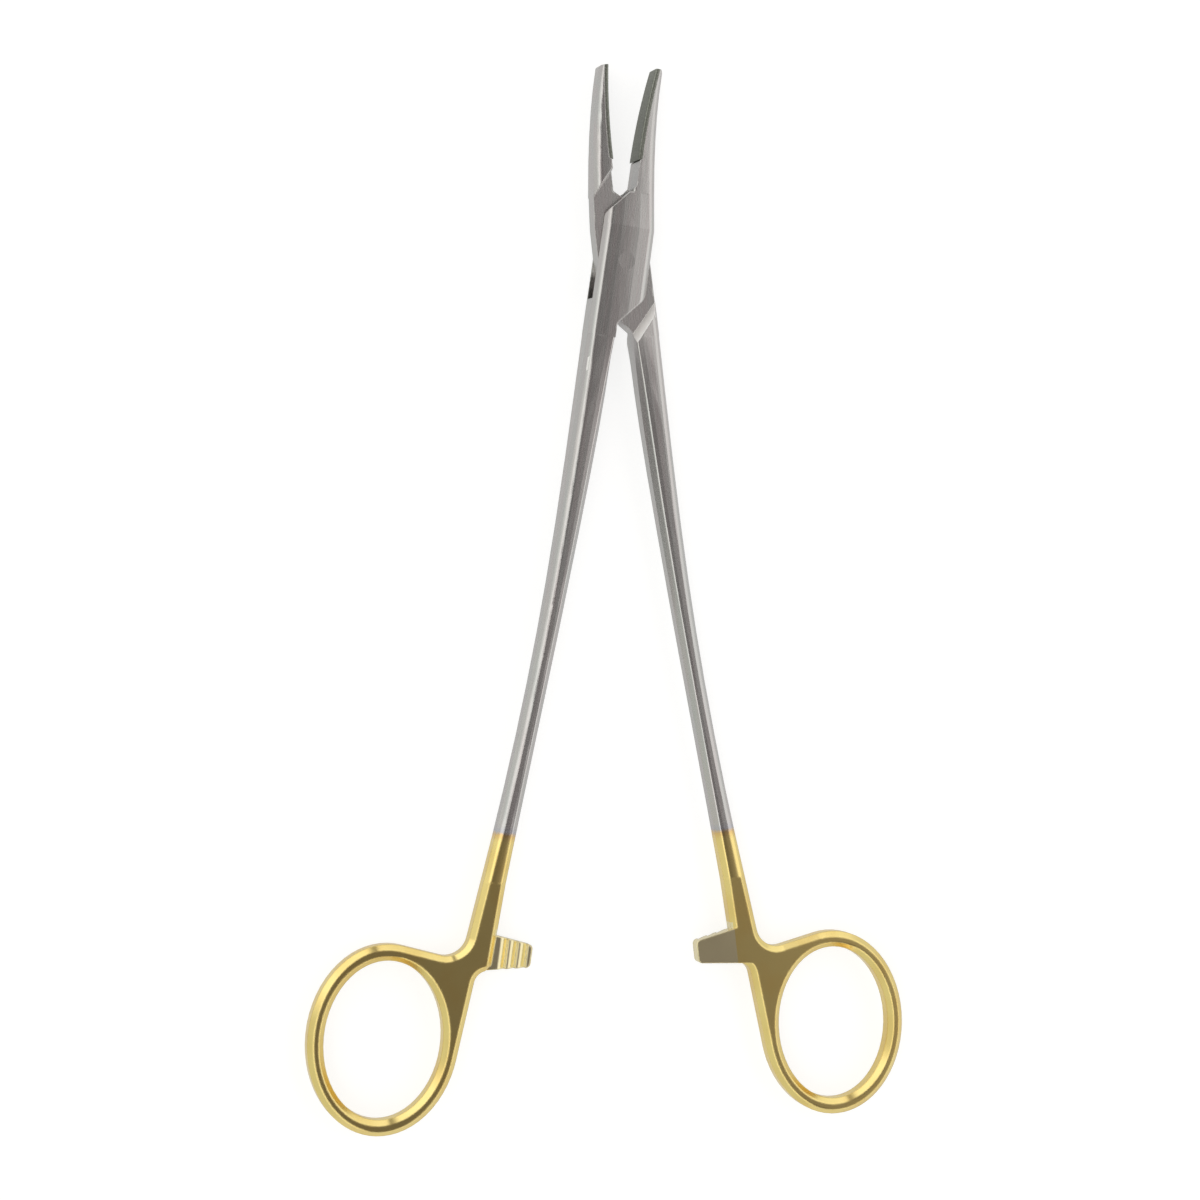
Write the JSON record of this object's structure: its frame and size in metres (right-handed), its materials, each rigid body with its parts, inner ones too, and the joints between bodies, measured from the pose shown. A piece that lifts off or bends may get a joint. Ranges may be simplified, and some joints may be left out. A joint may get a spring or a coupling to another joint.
{
  "type": "surgical needle holder",
  "caption": "Hinged hand instrument with finger rings, a ratchet and narrow insert-faced jaws, for gripping a curved suture needle.",
  "frame": {"origin": "on the pivot axis, level with the underside of the box lock", "axes": "+Y towards the jaws along the line midway between the halves, +Z along the pivot, out of the face that looks up when it lies flat, +X to the right seen from above"},
  "size_m": [0.1172, 0.1986, 0.0066],
  "materials": {
    "plated_steel": "satin stainless steel, with the finger rings, webs and ratchet plated in polished gold",
    "satin_steel": "satin stainless steel, ground flush with the faces of the box",
    "carbide": "sintered tungsten carbide, ground, with a fine cross-cut grip"
  },
  "bodies": {
    "slotted_half": {"female_half": "plated_steel", "pivot_pin": "satin_steel", "female_jaw_insert": "carbide"},
    "waisted_half": {"male_half": "plated_steel", "male_jaw_insert": "carbide"}
  },
  "joints": [
    {"name": "box_lock_pivot", "type": "hinge", "parent": "slotted_half", "child": "waisted_half", "pos_m": [0, 0, 0], "axis": [0, 0, 1], "range_deg": [-14.1, 76]}
  ]
}
